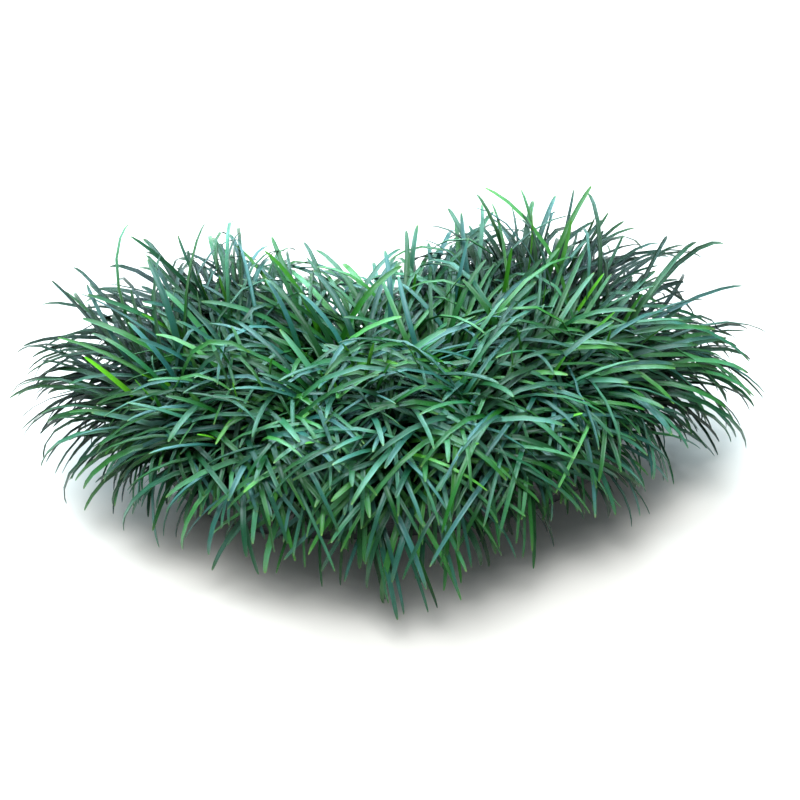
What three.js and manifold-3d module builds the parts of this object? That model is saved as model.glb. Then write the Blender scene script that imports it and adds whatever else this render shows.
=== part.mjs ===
// Dwarf mondo grass grown into one mound over a low oval pot.
// Millimetres, +Z up. The origin is the middle of the pot's flat underside, X runs along its length and the
// side that is seen first faces -Y.
import * as THREE from "three";
import { mergeVertices } from "three/addons/utils/BufferGeometryUtils.js";
import Module from "manifold-3d";

const wasm = await Module();
wasm.setup();

const radians = THREE.MathUtils.degToRad;
const mix = THREE.MathUtils.lerp;

// Pot: an oval bowl with a flat foot, a rolled lip and two drain holes
const POT_LENGTH = 220;
const POT_WIDTH = 112;
const POT_HEIGHT = 36;
const POT_WALL = 4.5;
const POT_FLOOR = 6;
const FLOOR_FILLET = 4; // how far the rounded corner of the floor runs in from the wall
const FOOT_INSET = 15; // how far the foot stands in from the rim, all round
const WALL_CURVE = 1.2; // the higher, the sooner the wall stands up
const LIP_OUT = 2.5; // how far the lip stands out from the wall
const LIP_HEIGHT = 6;
const LIP_ROUND = 1;
const OVAL_SIDES = 32;
const DRAIN_RADIUS = 4.5;
const DRAIN_SPACING = 44; // from the middle to each of the two drain holes
const DRAIN_SIDES = 12;

// Soil: fills the pot to just under the rim, level but for a slope along the wall
const SOIL_BELOW_RIM = 3;
const SOIL_SLOPE = 2; // how wide and how high the slope along the wall is
const GAP = 0.3; // between pieces that rest in or against each other

// Tufts: set over the soil like seeds in a sunflower, each on its own crown of packed leaf bases
const TUFTS = 22;
const LEAVES_PER_TUFT = 28;
const PLANTED_INSET = 16; // from the pot's rim to the outermost crowns
const CROWN_RADIUS = 6;
const CROWN_DEPTH = 13; // how deep a crown stands in the soil
const CROWN_ABOVE = 8;
const CROWN_SIDES = 8;
const ROOT_ABOVE = 2; // leaves start inside the crown, this high over the soil
const ROOT_SPREAD = 4; // and at most this far from its axis
const GOLDEN_ANGLE = Math.PI * (3 - Math.sqrt(5));
const FIRST_TURN = Math.PI; // puts one of the outermost crowns at the middle of the front
const TUFT_PHASE = 1.7; // turns each tuft's leaves further than those of the one before

// Leaves: straps with a shallow keel and a blunt tip, each drawn as a bent middle line with rings round it
const LEAF_WIDTH = 4.2;
const LEAF_KEEL = 1.3;
const TIP_KEEL = 0.7;
const ROOT_WIDTH_SHARE = 0.5;
const TIP_WIDTH_SHARE = 0.42;
const LEAF_LENGTH = 86;
const LINE_STEPS = 20;
const BEND_DELAY = 1.4; // the higher, the nearer to its tip a leaf bends
const BEND_PER_SEGMENT = 26; // degrees, with 3 to 5 straight segments in a leaf

// Habit, in degrees and in shares of the leaf's length: from the young upright middle of a tuft to its
// arching outside, and how far single leaves differ from that
const LEAN = { middle: 3, outside: 36, least: -5, most: 12 };
const BEND = { middle: 35, outside: 80, least: -25, most: 30 };
const SIZE = { middle: 0.86, outside: 1, least: 0.82, most: 1.1 };
const SWEEP = 35;
const ROLL = 30;
const OUTWARD_LEAN = 26; // added to the leaves of the outermost tufts, out over the rim
const OUTWARD_BEND = 45;

// Search for room: a leaf is drawn again, turned further and shorter each time, until it clears the others
const TRIES = 600;
const TURN = { first: 30, last: 100 };
const LAST_SIZE = 0.7;
const CELL = 0.7; // size of the cells that note which tuft's leaves are where
const SAMPLE_STEP = 0.5; // between the places along a leaf that are looked up
const ROOT_SHARE = 0.3; // this first part of a leaf may lie among the others of its own tuft
const POT_CLEARANCE = 1;
const GROUND_CLEARANCE = 9; // between the lowest leaf tips and what the pot stands on

// How far the leaves reach from the middle, at every 30 degrees from +X round by +Y
const SKIRT = [190, 186, 132, 102, 134, 186, 168, 118, 104, 102, 92, 124];
// How high they grow: the lowest top of the mound and the peaks that stand out of it
const MOUND_TOP = 80;
const PEAKS = [
  { x: -102, y: 46, spread: 58, height: 118 },
  { x: 74, y: 52, spread: 52, height: 128 },
  { x: 4, y: -36, spread: 46, height: 104 },
];
const MOUND_EDGE = 6; // the higher, the further out the mound keeps its height

const leafGreen = new THREE.MeshStandardMaterial({ color: 0x3f7a5c, roughness: 0.45, metalness: 0 });
const soilBrown = new THREE.MeshStandardMaterial({ color: 0x2c2018, roughness: 0.95, metalness: 0 });
const potCharcoal = new THREE.MeshStandardMaterial({ color: 0x33363a, roughness: 0.6, metalness: 0 });

// A closed solid through rings of equal counts, each turning the same way round, with a cap on both ends
function loft(rings) {
  const count = rings[0].length;
  const faces = [];
  for (let r = 0; r + 1 < rings.length; r++) {
    for (let i = 0; i < count; i++) {
      const a = r * count + i;
      const b = r * count + ((i + 1) % count);
      faces.push(a, b, b + count, a, b + count, a + count);
    }
  }
  const last = (rings.length - 1) * count;
  for (let i = 1; i + 1 < count; i++) {
    faces.push(0, i + 1, i, last, last + i, last + i + 1);
  }
  return new THREE.BufferGeometry().setFromPoints(rings.flat()).setIndex(faces);
}

// An upright prism round x and y
function upright(x, y, bottom, top, radius, sides) {
  return new THREE.CylinderGeometry(radius, radius, top - bottom, sides)
    .rotateX(Math.PI / 2)
    .translate(x, y, (top + bottom) / 2);
}

function solidOf(geometry) {
  const bare = geometry.clone();
  bare.deleteAttribute("normal");
  bare.deleteAttribute("uv");
  const merged = mergeVertices(bare, 1e-4);
  return new wasm.Manifold(
    new wasm.Mesh({
      numProp: 3,
      vertProperties: merged.attributes.position.array,
      triVerts: new Uint32Array(merged.index.array),
    }),
  );
}

function meshOf(name, solid, material) {
  const { vertProperties, triVerts } = solid.getMesh();
  const geometry = new THREE.BufferGeometry();
  geometry.setAttribute("position", new THREE.BufferAttribute(vertProperties, 3));
  geometry.setIndex(new THREE.BufferAttribute(triVerts, 1));
  geometry.computeVertexNormals();
  const mesh = new THREE.Mesh(geometry, material);
  mesh.name = name;
  return mesh;
}

// The fused solids' outer skin, without the hollows that crossing leaves shut in
function fused(solids) {
  const skins = wasm.Manifold.union(solids).decompose();
  return skins.reduce((largest, skin) => (skin.volume() > largest.volume() ? skin : largest));
}

// A ring of points round the pot's oval, drawn in from the rim by inset, at height z
function oval(inset, z) {
  const [across, deep] = [POT_LENGTH / 2 - inset, POT_WIDTH / 2 - inset];
  return Array.from({ length: OVAL_SIDES }, (_, i) => {
    const turn = (2 * Math.PI * i) / OVAL_SIDES;
    return new THREE.Vector3(across * Math.cos(turn), deep * Math.sin(turn), z);
  });
}

// Share of the way from the middle of the pot to the oval that is drawn in from its rim by inset
function ovalShare(x, y, inset) {
  return Math.hypot(x / (POT_LENGTH / 2 - inset), y / (POT_WIDTH / 2 - inset));
}

// How far in from the rim the wall's outer face stands at height z: it leans out low down, then stands up
function wallInset(z) {
  const rise = THREE.MathUtils.clamp(z / (POT_HEIGHT - LIP_HEIGHT), 0, 1);
  return LIP_OUT + (FOOT_INSET - LIP_OUT) * (1 - Math.sin((rise * Math.PI) / 2)) ** WALL_CURVE;
}

const lipFoot = POT_HEIGHT - LIP_HEIGHT;
const innerBend = mix(POT_FLOOR, lipFoot, 0.4);
const floorInset = wallInset(POT_FLOOR) + POT_WALL + FLOOR_FILLET;
const soilZ = POT_HEIGHT - SOIL_BELOW_RIM;

function makePot() {
  const outer = [0, 0.2, 0.5, 1].map((rise) => oval(wallInset(rise * lipFoot), rise * lipFoot));
  const lip = [
    oval(0, lipFoot + LIP_ROUND),
    oval(0, POT_HEIGHT - LIP_ROUND),
    oval(LIP_ROUND, POT_HEIGHT),
    oval(LIP_OUT + POT_WALL - LIP_ROUND, POT_HEIGHT),
  ];
  const inner = [lipFoot, innerBend].map((z) => oval(wallInset(z) + POT_WALL, z));
  let pot = solidOf(loft([...outer, ...lip, ...inner, oval(floorInset, POT_FLOOR)]));
  for (const x of [-DRAIN_SPACING, DRAIN_SPACING]) {
    const drain = upright(x, 0, -POT_FLOOR, 2 * POT_FLOOR, DRAIN_RADIUS, DRAIN_SIDES);
    pot = pot.subtract(solidOf(drain));
  }
  return pot;
}

function makeSoil() {
  const slopeFoot = soilZ - SOIL_SLOPE;
  const sides = [innerBend, slopeFoot].map((z) => oval(wallInset(z) + POT_WALL + GAP, z));
  const top = oval(LIP_OUT + POT_WALL + SOIL_SLOPE, soilZ);
  let soil = solidOf(loft([oval(floorInset + GAP, POT_FLOOR + GAP), ...sides, top]));
  for (const { x, y } of crowns) {
    const hole = upright(x, y, soilZ - CROWN_DEPTH - GAP, POT_HEIGHT, CROWN_RADIUS + GAP, CROWN_SIDES);
    soil = soil.subtract(solidOf(hole));
  }
  return soil;
}

// Reach of the leaves from the middle of the pot in the direction of x and y
function skirtReach(x, y) {
  const turn = ((Math.atan2(y, x) / (2 * Math.PI) + 1) % 1) * SKIRT.length;
  const from = Math.floor(turn);
  return mix(SKIRT[from], SKIRT[(from + 1) % SKIRT.length], turn - from);
}

// Height that the leaves grow to over x and y
function growthHeight(x, y) {
  let rise = 0;
  for (const peak of PEAKS) {
    const away = ((x - peak.x) ** 2 + (y - peak.y) ** 2) / peak.spread ** 2;
    rise = Math.max(rise, (peak.height - MOUND_TOP) * Math.exp(-away));
  }
  return MOUND_TOP + rise;
}

const crowns = Array.from({ length: TUFTS }, (_, k) => {
  const share = Math.sqrt((k + 0.5) / (TUFTS - 0.5));
  const x = (POT_LENGTH / 2 - PLANTED_INSET) * share * Math.cos(FIRST_TURN + k * GOLDEN_ANGLE);
  const y = (POT_WIDTH / 2 - PLANTED_INSET) * share * Math.sin(FIRST_TURN + k * GOLDEN_ANGLE);
  const growth = Math.sqrt((growthHeight(x, y) - soilZ) / (MOUND_TOP - soilZ));
  const body = upright(x, y, soilZ - CROWN_DEPTH, soilZ + CROWN_ABOVE, CROWN_RADIUS, CROWN_SIDES);
  return { number: k + 1, x, y, share, growth, solids: [solidOf(body)] };
});

// The same draws from 0 to 1 on every run for the same seed
function randomFrom(seed) {
  let state = seed >>> 0;
  return () => {
    state = (state + 0x6d2b79f5) >>> 0;
    let t = state;
    t = Math.imul(t ^ (t >>> 15), t | 1);
    t ^= t + Math.imul(t ^ (t >>> 7), t | 61);
    return ((t ^ (t >>> 14)) >>> 0) / 2 ** 32;
  };
}

// A leaf's place in its tuft runs from 0, the young upright middle, to 1, the arching outside. The more
// effort it has cost to find it room, from 0 to 1, the further it may turn and the shorter it stays.
function drawLeaf(crown, index, effort, draw) {
  const outside = Math.sqrt((index + 0.5) / LEAVES_PER_TUFT);
  const spot = index * GOLDEN_ANGLE + crown.number * TUFT_PHASE;
  const spread = ROOT_SPREAD * outside;
  const lean = mix(LEAN.middle, LEAN.outside, outside) + mix(LEAN.least, LEAN.most, draw());
  const ownLean = Math.tan(radians(lean));
  const ownTurn = spot + radians(mix(TURN.first, TURN.last, effort) * mix(-1, 1, draw()));
  const tuftLean = Math.tan(radians(OUTWARD_LEAN)) * crown.share ** 2;
  const tuftTurn = Math.atan2(crown.y, crown.x);
  const x = ownLean * Math.cos(ownTurn) + tuftLean * Math.cos(tuftTurn);
  const y = ownLean * Math.sin(ownTurn) + tuftLean * Math.sin(tuftTurn);
  const bend = mix(BEND.middle, BEND.outside, outside) + mix(BEND.least, BEND.most, draw());
  const sweep = mix(-SWEEP, SWEEP, draw());
  const roll = mix(-ROLL, ROLL, draw());
  const size = mix(SIZE.middle, SIZE.outside, outside) * mix(SIZE.least, SIZE.most, draw());
  return {
    root: new THREE.Vector3(
      crown.x + spread * Math.cos(spot),
      crown.y + spread * Math.sin(spot),
      soilZ + ROOT_ABOVE,
    ),
    turn: Math.atan2(y, x),
    tilt: Math.atan(Math.hypot(x, y)),
    bend: radians(bend + OUTWARD_BEND * crown.share ** 2 * outside),
    sweep: radians(sweep),
    roll: radians(roll),
    length: LEAF_LENGTH * crown.growth * size * mix(1, LAST_SIZE, effort),
  };
}

// A leaf's middle line: places and frames at even steps from root to tip
function leafLine(leaf) {
  const at = leaf.root.clone();
  const line = [];
  for (let i = 0; i <= LINE_STEPS; i++) {
    const s = i / LINE_STEPS;
    const tilt = leaf.tilt + leaf.bend * s ** BEND_DELAY;
    const turn = leaf.turn + leaf.sweep * s;
    const roll = leaf.roll * s;
    const out = new THREE.Vector3(Math.cos(turn), Math.sin(turn), 0);
    const ahead = out.multiplyScalar(Math.sin(tilt)).setZ(Math.cos(tilt));
    const across = new THREE.Vector3(-Math.sin(turn), Math.cos(turn), 0);
    const up = ahead.clone().cross(across);
    const side = across.clone().multiplyScalar(Math.cos(roll)).addScaledVector(up, Math.sin(roll));
    const face = up.multiplyScalar(Math.cos(roll)).addScaledVector(across, -Math.sin(roll));
    line.push({ s, at: at.clone(), side, face });
    at.addScaledVector(ahead, leaf.length / LINE_STEPS);
  }
  return line;
}

// Narrow at the root, full from a third of the way, blunt at the tip
function leafWidth(s) {
  const fromRoot = Math.min(1, ROOT_WIDTH_SHARE + 1.5 * s);
  return LEAF_WIDTH * fromRoot * Math.sqrt(1 - (1 - TIP_WIDTH_SHARE ** 2) * s ** 8);
}

// Rings of three points, right edge, left edge and keel, at a few stations of the line
function leafRings(line, bend) {
  const segments = THREE.MathUtils.clamp(Math.round(bend / radians(BEND_PER_SEGMENT)), 3, 5);
  return Array.from({ length: segments + 1 }, (_, i) => {
    const { s, at, side, face } = line[Math.round((LINE_STEPS * i) / segments)];
    const half = leafWidth(s) / 2;
    const keel = mix(LEAF_KEEL, TIP_KEEL, s ** 3);
    return [
      at.clone().addScaledVector(side, half),
      at.clone().addScaledVector(side, -half),
      at.clone().addScaledVector(face, -keel),
    ];
  });
}

// Shares of right edge, left edge and keel for the places across a leaf that are looked up
const ACROSS = [
  [1, 0, 0],
  [0.75, 0.25, 0],
  [0.5, 0.5, 0],
  [0.25, 0.75, 0],
  [0, 1, 0],
  [0, 0, 1],
];

// Calls visit(x, y, z, s) for places spread closely over a leaf, until it returns false
function everyPlace(rings, visit) {
  for (let r = 0; r + 1 < rings.length; r++) {
    const [from, to] = [rings[r], rings[r + 1]];
    const steps = Math.ceil(from[2].distanceTo(to[2]) / SAMPLE_STEP) + 1;
    for (let i = 0; i < steps; i++) {
      const t = i / steps;
      for (const [right, left, keel] of ACROSS) {
        const [x, y, z] = ["x", "y", "z"].map((axis) => {
          const start = right * from[0][axis] + left * from[1][axis] + keel * from[2][axis];
          const end = right * to[0][axis] + left * to[1][axis] + keel * to[2][axis];
          return mix(start, end, t);
        });
        if (!visit(x, y, z, (r + t) / (rings.length - 1))) return false;
      }
    }
  }
  return true;
}

// Cells over the whole plant, each with the number of the tuft that fills it, or 0
const halfSpan = Math.max(...SKIRT) + 2 * CELL;
const columns = Math.ceil((2 * halfSpan) / CELL);
const layers = Math.ceil((Math.max(...PEAKS.map((peak) => peak.height)) + 2 * CELL) / CELL);
const cells = new Uint8Array(columns * columns * layers);

function cellAt(x, y, z) {
  const column = Math.floor((x + halfSpan) / CELL);
  const row = Math.floor((y + halfSpan) / CELL);
  return column + columns * (row + columns * Math.floor(z / CELL));
}

const nearCells = [];
for (const i of [-1, 0, 1]) {
  for (const j of [-1, 0, 1]) {
    for (const k of [-1, 0, 1]) nearCells.push(i + columns * (j + columns * k));
  }
}

function fillCells(x, y, z, number) {
  const cell = cellAt(x, y, z);
  for (const near of nearCells) cells[cell + near] = number;
}

function fillCrown(crown) {
  const span = Math.ceil(CROWN_RADIUS / CELL);
  for (let i = -span; i <= span; i++) {
    for (let j = -span; j <= span; j++) {
      if (Math.hypot(i, j) * CELL > CROWN_RADIUS) continue;
      for (let z = soilZ; z <= soilZ + CROWN_ABOVE; z += CELL) {
        fillCells(crown.x + i * CELL, crown.y + j * CELL, z, crown.number);
      }
    }
  }
}

// Whether a place is clear of the soil, the pot's wall and what the pot stands on
function clearOfPot(x, y, z) {
  if (z < GROUND_CLEARANCE) return false;
  if (z > POT_HEIGHT + POT_CLEARANCE || ovalShare(x, y, -POT_CLEARANCE) > 1) return true;
  return ovalShare(x, y, LIP_OUT + POT_WALL + POT_CLEARANCE) < 1 && z > soilZ + POT_CLEARANCE;
}

function withinMound(x, y, z) {
  const reach = Math.hypot(x, y) / skirtReach(x, y);
  return reach < 1 && z < growthHeight(x, y) * Math.sqrt(1 - reach ** MOUND_EDGE);
}

function leafFits(crown, line, rings) {
  const free = (x, y, z, s) => {
    const overCrown = Math.hypot(x - crown.x, y - crown.y) < CROWN_RADIUS;
    if (overCrown && z < soilZ + CROWN_ABOVE) return true;
    if (!clearOfPot(x, y, z) || !withinMound(x, y, z)) return false;
    const number = cells[cellAt(x, y, z)];
    return number === 0 || (number === crown.number && s < ROOT_SHARE);
  };
  return line.every(({ s, at }) => free(at.x, at.y, at.z, s)) && everyPlace(rings, free);
}

function growLeaf(crown, index) {
  const number = crown.number * LEAVES_PER_TUFT + index;
  for (let attempt = 0; attempt < TRIES; attempt++) {
    const leaf = drawLeaf(crown, index, attempt / TRIES, randomFrom(number * TRIES + attempt));
    const line = leafLine(leaf);
    const rings = leafRings(line, leaf.bend);
    if (!leafFits(crown, line, rings)) continue;
    everyPlace(rings, (x, y, z) => {
      fillCells(x, y, z, crown.number);
      return true;
    });
    crown.solids.push(solidOf(loft(rings)));
    return;
  }
}

crowns.forEach(fillCrown);
for (let index = 0; index < LEAVES_PER_TUFT; index++) {
  for (const crown of crowns) growLeaf(crown, index);
}

const plant = new THREE.Group();
plant.add(meshOf("pot", makePot(), potCharcoal));
plant.add(meshOf("soil", makeSoil(), soilBrown));
for (const { number, solids } of crowns) {
  plant.add(meshOf(`tuft_${String(number).padStart(2, "0")}`, fused(solids), leafGreen));
}

export default plant;
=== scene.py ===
import math
from collections import defaultdict
from functools import partial

import bmesh
import bpy
import numpy as np
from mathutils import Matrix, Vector, noise


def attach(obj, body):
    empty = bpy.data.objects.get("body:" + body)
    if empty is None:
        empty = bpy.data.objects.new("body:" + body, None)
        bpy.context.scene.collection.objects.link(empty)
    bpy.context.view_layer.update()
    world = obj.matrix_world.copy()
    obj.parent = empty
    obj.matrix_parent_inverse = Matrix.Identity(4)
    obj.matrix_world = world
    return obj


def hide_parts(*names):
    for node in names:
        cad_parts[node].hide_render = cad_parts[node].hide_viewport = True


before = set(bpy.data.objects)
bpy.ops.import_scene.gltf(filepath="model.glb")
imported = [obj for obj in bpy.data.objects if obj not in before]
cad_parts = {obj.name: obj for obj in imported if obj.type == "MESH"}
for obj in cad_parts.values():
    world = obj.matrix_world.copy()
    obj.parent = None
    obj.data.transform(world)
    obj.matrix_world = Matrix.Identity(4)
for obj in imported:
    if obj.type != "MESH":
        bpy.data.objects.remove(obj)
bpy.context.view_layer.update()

# Dwarf mondo grass in a low oval pot: 22 tufts of strap-like leaves that arch over the rim.
# The growth rule below is the solids' own rule, so the main leaves lie where theirs do.
# It works in millimetres, and mm turns its lengths into metres.
mm = 0.001
goldenAngle = math.pi * (3 - math.sqrt(5))

pot = {
    "length": 220, "width": 112, "height": 36, "wall": 4.5, "floor": 6,
    "footInset": 15, "footRing": 5, "footRecess": 1.2, "wallCurve": 1.2, "floorFillet": 4,
    "lipOut": 2.5, "lipHeight": 6, "lipRound": 1.4, "lipSteps": 6,
    "drainRadius": 4.5, "drainSpacing": 44, "drainSides": 40, "drillDepth": 24,
    "sides": 144, "wallRings": 16, "recessShares": (0.15, 0.4, 0.7), "floorShares": (1, 0.6, 0.2),
    # rounded edges as pairs of an inset and a height
    "recessEdge": ((1, 1), (0.3, 0.9), (0, 0.35)), "footEdge": ((0.6, 0), (0.1, 0.35)),
    "lipFoot": ((1.2, 0.25), (0.35, 0.8), (0, 1.8)),
}
soil = {
    "belowRim": 3, "slope": 2, "sunk": 0.6, "gap": 0.3, "rings": 26, "middleShare": 0.03,
    "wallRings": 8, "wallFrom": 0.4, "baseShares": (0.3, 0.7, 1), "seed": 7,
    "lump": 1.1, "lumpSize": 14, "crumbSize": 4.5, "crumbShare": 0.5, "edgeLump": 0.2, "lumpRise": 8,
    "gritPerSquareMetre": 90000, "gritSize": (0.5, 1.7),
}
tuft = {
    "count": 22, "leaves": 28, "inset": 16, "radius": 6, "above": 8, "rootAbove": 2,
    "rootSpread": 4, "phase": 1.7, "outwardLean": 26, "outwardBend": 45,
    "axisLean": 33, "backLean": 0.2, "clump": 10,
}
leaf = {
    "width": 4.2, "keel": 1.3, "tipKeel": 0.7, "rootShare": 0.5, "rootGain": 1.5, "tipShare": 0.42,
    "length": 86, "steps": 20, "bendPerSegment": 26, "segments": (3, 5),
    "lean": (3, 36), "bend": (35, 80), "size": (0.86, 1),
    "channel": 1.1, "thickness": 0.62, "bodyShare": 0.577, "sides": 6, "taper": 0.14,
    "stations": (0, 0.1, 0.23, 0.37, 0.51, 0.65, 0.78, 0.89, 0.955, 0.988, 1),
    "bluntShare": 0.62, "roundFrom": 0.955, "blunt": 0.4,
}
mound = {
    "skirt": (190, 186, 132, 102, 134, 186, 168, 118, 104, 102, 92, 124),
    "top": 80, "edge": 6, "widest": 200,
    "peaks": ((-102, 46, 58, 118), (74, 52, 52, 128), (4, -36, 46, 104)),
}
# The same mound with a finer edge, for the leaves between
fullMound = {
    "skirt": (
        192, 208, 202, 174, 142, 112, 98, 112, 140, 174, 198, 190,
        156, 128, 114, 106, 102, 106, 108, 106, 98, 110, 122, 130,
    ),
    "top": 60, "edge": 9, "widest": 177,
    "peaks": (
        (-142, 48, 50, 122), (-96, 60, 54, 122), (60, 52, 46, 122), (104, 54, 46, 122),
        (146, 46, 42, 119), (-72, -6, 32, 102), (-12, -28, 34, 108), (52, -10, 34, 106),
        (106, 0, 34, 96), (-122, -10, 30, 84), (28, -62, 28, 84), (-44, -58, 28, 84), (84, -46, 28, 78),
    ),
}
search = {"cell": 0.7, "step": 0.5, "potClear": 1, "groundClear": 9, "draws": 9}
mainLeaves = {
    "form": mound, "count": tuft["leaves"], "tries": 600, "turn": (30, 100), "lastSize": 0.7,
    "lean": leaf["lean"], "leanSpread": (-5, 12), "bendSpread": (-25, 30), "sweep": 35, "roll": 30,
    "sizeSpread": (0.82, 1.1), "bendDelay": (1.4, 1.4), "width": (0.56, 0.76), "clearance": 1,
    "crossing": 0, "rootShare": 0.3, "hiddenShare": 0, "hollow": 0,
    "firstSeed": 0, "spotOffset": 0, "young": False,
}
# The others open away from their tuft's own axis and droop: new shoots in its middle,
# long leaves that hang over the rim, and shorter ones that fill it.
looseLeaves = {
    "form": fullMound, "tries": 80, "turn": (30, 130), "lastSize": 0.7, "roll": 35, "rootShare": 0.3,
    "clearance": 0, "hollow": 0, "young": False,
}
youngLeaves = {
    **looseLeaves, "count": 3, "tries": 60, "turn": (40, 120), "lastSize": 0.6, "roll": 30,
    "lean": (0, 12), "leanSpread": (-2, 5), "curl": (0, 25), "droop": (0, 0.15), "sweep": 20,
    "sizeSpread": (0.55, 0.85), "bendDelay": (1.5, 2.5), "width": (0.4, 0.64),
    "crossing": 0.15, "rootShare": 0.5, "hiddenShare": 0.5,
    "firstSeed": 2000000, "spotOffset": 0.4, "young": True,
}
rimLeaves = {
    **looseLeaves, "count": 44,
    "lean": (8, 46), "leanSpread": (-6, 10), "curl": (10, 80), "droop": (0.35, 1.7), "sweep": 30,
    "sizeSpread": (0.9, 1.35), "bendDelay": (1.1, 2), "width": (0.37, 0.61),
    "crossing": 0.08, "hiddenShare": 0.4, "firstSeed": 3000000, "spotOffset": 0.2,
}
fillLeaves = {
    **looseLeaves, "count": 68,
    "lean": (3, 32), "leanSpread": (-3, 12), "curl": (15, 120), "droop": (0.2, 1.1), "sweep": 32,
    "sizeSpread": (0.5, 1.15), "bendDelay": (1.2, 2.2), "width": (0.33, 0.6),
    "crossing": 0.12, "hiddenShare": 0.45, "hollow": 0.8, "firstSeed": 1000000, "spotOffset": 0.9,
}
leafMap = {
    "slender": 9.5, "gap": 0.1, "border": 0.06,
    "capWide": 0.4, "capHigh": 0.012, "capAt": (-0.035, 1.035),
}
sheath = {
    "count": 14, "length": (9, 18), "sunk": 4, "spread": 4.6, "lean": (4, 24), "leanSpread": 4,
    "curl": 0.4, "steps": 6, "scale": 0.95, "scaleSpread": (0.8, 1.1), "taper": 0.55,
}
shades = {
    # the depth range in mm under the mound's surface over which painted shade darkens the leaves, from
    # none to full
    "seed": 31, "paintedShadeDepth": (4, 36), "youth": 0.5, "youthPower": 4, "youngYouth": (0.6, 1),
    "sheathDryness": (0.45, 1), "dry": 0.005, "dryDryness": (0.7, 1), "dryWidth": (0.45, 0.7),
}

soilZ = pot["height"] - soil["belowRim"]


def mix(a, b, t):
    return (1 - t) * a + t * b


def unit(v):
    return v / np.linalg.norm(v, axis=-1, keepdims=True)


def ovalShare(x, y, inset):
    return np.hypot(x / (pot["length"] / 2 - inset), y / (pot["width"] / 2 - inset))


def skirtReach(x, y, form):
    skirt = np.array(form["skirt"], float)
    turn = ((np.arctan2(y, x) / (2 * math.pi) + 1) % 1) * len(skirt)
    low = np.floor(turn).astype(int)
    return mix(skirt[low % len(skirt)], skirt[(low + 1) % len(skirt)], turn - low)


def growthHeight(x, y, form):
    rise = 0
    for peakX, peakY, spread, height in form["peaks"]:
        away = ((x - peakX) ** 2 + (y - peakY) ** 2) / spread ** 2
        rise = np.maximum(rise, (height - form["top"]) * np.exp(-away))
    return form["top"] + rise


def moundTop(x, y, form):  # how far out a place is, from 0 to 1, and how high the mound is there
    reach = np.hypot(x, y) / skirtReach(x, y, form)
    return reach, growthHeight(x, y, form) * np.sqrt(np.maximum(0, 1 - reach ** form["edge"]))


def seededDraws(seeds, count):  # numbers from 0 to 1, the same as the solids' for a seed
    whole = np.uint64(0xFFFFFFFF)
    state = seeds.astype(np.uint64)
    result = []
    for _ in range(count):
        state = (state + np.uint64(0x6D2B79F5)) & whole
        t = ((state ^ (state >> np.uint64(15))) * (state | np.uint64(1))) & whole
        t ^= (t + (((t ^ (t >> np.uint64(7))) * (t | np.uint64(61))) & whole)) & whole
        result.append((t ^ (t >> np.uint64(14))) / 2.0 ** 32)
    return result


def drawLeaves(crown, index, rule):  # one leaf's tries, all at once
    tries = np.arange(rule["tries"])
    effort = tries / rule["tries"]
    number = crown["number"] * rule["count"] + index
    draws = seededDraws(rule["firstSeed"] + number * rule["tries"] + tries, search["draws"])
    outside = math.sqrt((index + 0.5) / rule["count"])
    spot = index * goldenAngle + crown["number"] * tuft["phase"] + rule["spotOffset"]
    spread = tuft["rootSpread"] * outside
    lean = mix(*rule["lean"], outside) + mix(*rule["leanSpread"], draws[0])
    size = mix(*leaf["size"], outside) * mix(*rule["sizeSpread"], draws[5])
    root = (
        crown["x"] + spread * math.cos(spot),
        crown["y"] + spread * math.sin(spot),
        soilZ + tuft["rootAbove"],
    )
    drawn = {
        "root": np.tile(root, (len(tries), 1)),
        "lean": np.radians(lean),
        "turn": spot + np.radians(mix(*rule["turn"], effort) * mix(-1, 1, draws[1])),
        "sweep": np.radians(mix(-rule["sweep"], rule["sweep"], draws[3])),
        "roll": np.radians(mix(-rule["roll"], rule["roll"], draws[4])),
        "length": leaf["length"] * crown["growth"] * size * mix(1, rule["lastSize"], effort),
        "width": mix(*rule["width"], draws[7]),
        "delay": mix(*rule["bendDelay"], draws[8]),
    }
    if rule is mainLeaves:
        outward = math.tan(math.radians(tuft["outwardLean"])) * crown["share"] ** 2
        outwardTurn = math.atan2(crown["y"], crown["x"])
        x = np.tan(drawn["lean"]) * np.cos(drawn["turn"]) + outward * math.cos(outwardTurn)
        y = np.tan(drawn["lean"]) * np.sin(drawn["turn"]) + outward * math.sin(outwardTurn)
        bend = mix(*leaf["bend"], outside) + mix(*rule["bendSpread"], draws[2])
        bend = bend + tuft["outwardBend"] * crown["share"] ** 2 * outside
        drawn.update(turn=np.arctan2(y, x), tilt=np.arctan(np.hypot(x, y)), bend=np.radians(bend))
    else:
        curl, droop = mix(*rule["curl"], draws[2]), mix(*rule["droop"], draws[6])
        drawn.update(axis=crown["axis"], bend=np.radians(curl), droop=droop)
    return drawn


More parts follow.
